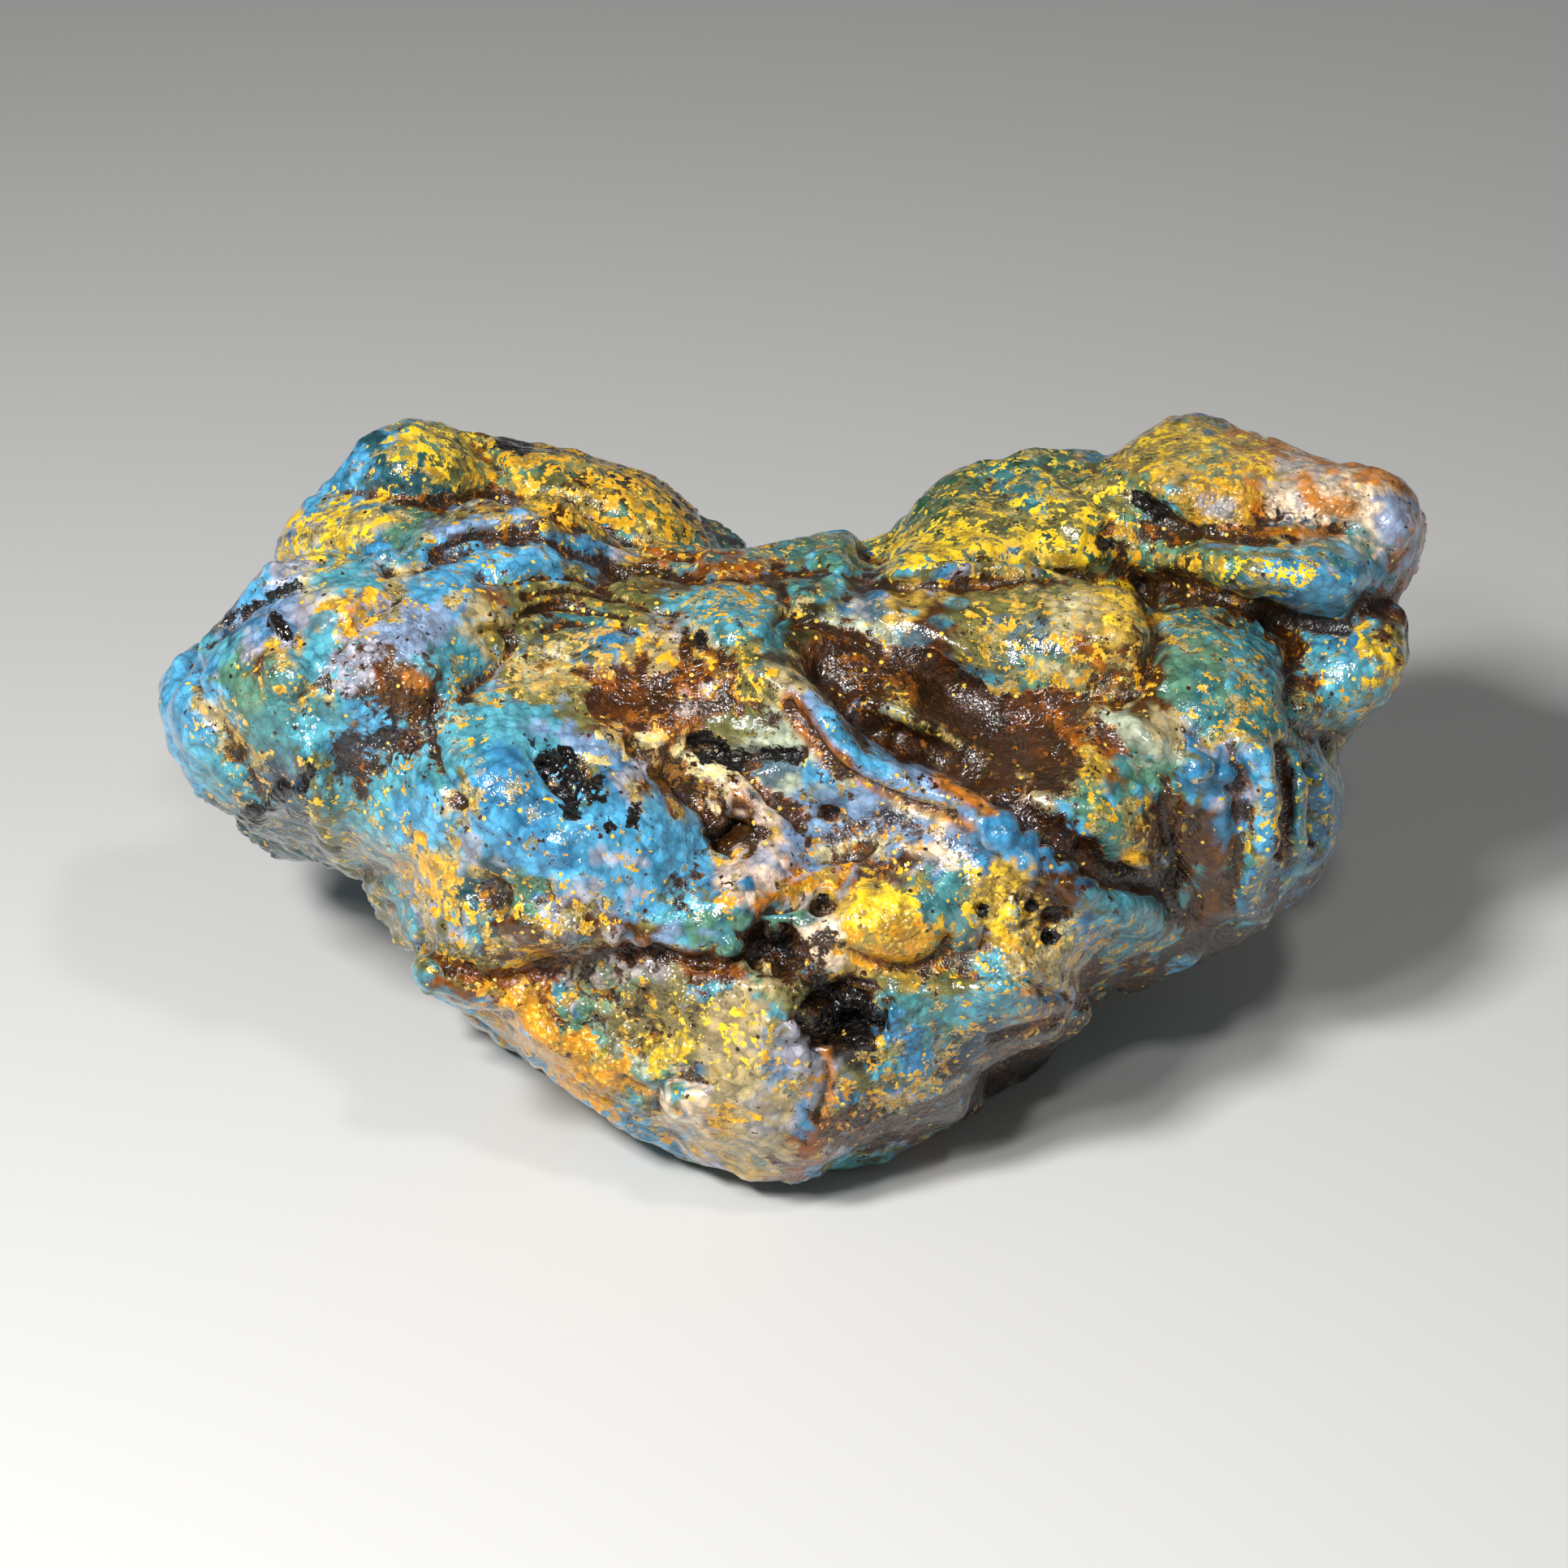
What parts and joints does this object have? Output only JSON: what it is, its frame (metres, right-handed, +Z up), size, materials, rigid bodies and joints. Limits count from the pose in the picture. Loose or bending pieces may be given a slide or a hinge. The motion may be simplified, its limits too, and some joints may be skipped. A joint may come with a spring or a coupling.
{
  "type": "rough amber",
  "caption": "Rough lump of blue and gold amber with rounded lobes, ridges, gullies and pits, worn flat underneath.",
  "frame": {"origin": "centre of the bounding box's bottom, on the level that the lump rests on", "axes": "+X to the right along the lump's length as seen from its front, -Y towards that front, +Z up"},
  "size_m": [0.1014, 0.0684, 0.0447],
  "materials": {
    "amber": "wet-looking natural resin, mottled sky blue, teal, lavender and gold, with rust-brown and black in the creases"
  },
  "bodies": {
    "root": {"amber_lump": "amber"}
  },
  "joints": []
}
